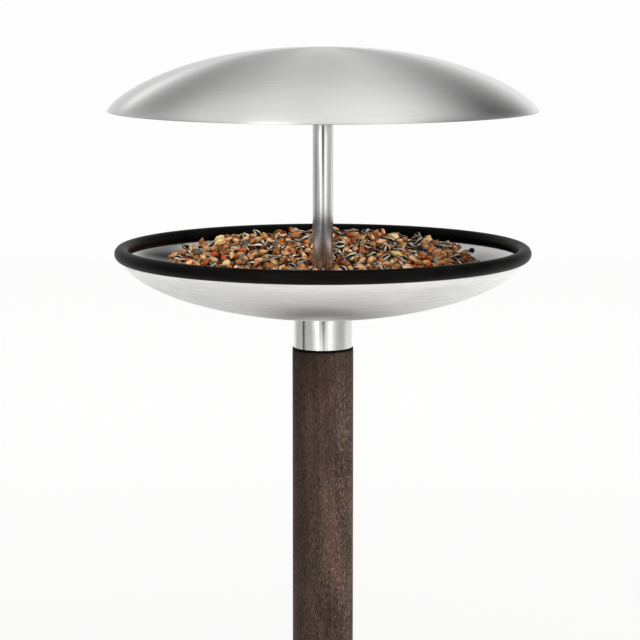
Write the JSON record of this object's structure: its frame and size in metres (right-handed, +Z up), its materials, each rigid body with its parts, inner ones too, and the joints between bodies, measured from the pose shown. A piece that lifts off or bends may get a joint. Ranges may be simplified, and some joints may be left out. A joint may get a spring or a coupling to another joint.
{
  "type": "bird feeder",
  "caption": "Garden bird feeder on a wooden pole: shallow steel bowl of seed with a rubber perch ring under a domed steel roof on a rod.",
  "frame": {"origin": "on the axis at ground level, in the plane of the stop plate's underside", "axes": "+Z up along the pole, the spike goes down from the origin; +Y away from the viewer of the picture"},
  "size_m": [0.308, 0.308, 1.3724],
  "materials": {
    "brushed_sheet": "spun and brushed round the axis",
    "brushed_tube": "fine brushed, half bright",
    "turned_steel": "turned",
    "zinc_steel": "zinc plated, dull",
    "insert_brass": "turned",
    "perch_rubber": "satin black",
    "washer_rubber": "matt black",
    "stained_wood": "open-pored hardwood, stained dark and oiled",
    "bird_seed": "loose bird seed of mixed kinds, stood in for by wood, which weighs about as much"
  },
  "bodies": {
    "stand": {"ground_spike": "zinc_steel", "stop_plate": "zinc_steel", "foot_washer": "washer_rubber", "foot_insert": "insert_brass", "pole": "stained_wood", "top_insert": "insert_brass", "pole_washer": "washer_rubber", "collar": "brushed_tube", "collar_hub": "turned_steel", "collar_stud": "zinc_steel", "bowl_gasket": "washer_rubber"},
    "bowl": {"bowl": "brushed_sheet", "rim_ring": "perch_rubber", "seed_mix": "bird_seed"},
    "clamp": {"bowl_seal": "washer_rubber", "clamp_washer": "turned_steel"},
    "canopy": {"rod_lower_plug": "turned_steel", "rod_tube": "brushed_tube", "rod_upper_plug": "turned_steel"},
    "roof_seat": {"roof_washer": "washer_rubber"},
    "roof": {"roof_boss": "turned_steel", "roof": "brushed_sheet"}
  },
  "joints": [
    {"name": "bowl_lift", "type": "slide", "parent": "stand", "child": "bowl", "axis": [0, 0, 1], "range_m": [0, 0.06]},
    {"name": "canopy_rise", "type": "slide", "parent": "bowl", "child": "clamp", "axis": [0, 0, 1], "range_m": [0, 0.0095]},
    {"name": "canopy_turn", "type": "hinge", "parent": "clamp", "child": "canopy", "pos_m": [0, 0, 0.9333], "axis": [0, 0, 1], "range_deg": [0, 2160]},
    {"name": "roof_rise", "type": "slide", "parent": "canopy", "child": "roof_seat", "axis": [0, 0, 1], "range_m": [0, 0.008]},
    {"name": "roof_turn", "type": "hinge", "parent": "roof_seat", "child": "roof", "pos_m": [0, 0, 1.1081], "axis": [0, 0, 1], "range_deg": [0, 2160]}
  ],
  "couplings": [
    {"joint": "canopy_rise", "follows": "canopy_turn", "m_per_rad": 0.0002387},
    {"joint": "roof_rise", "follows": "roof_turn", "m_per_rad": 0.0001989}
  ]
}
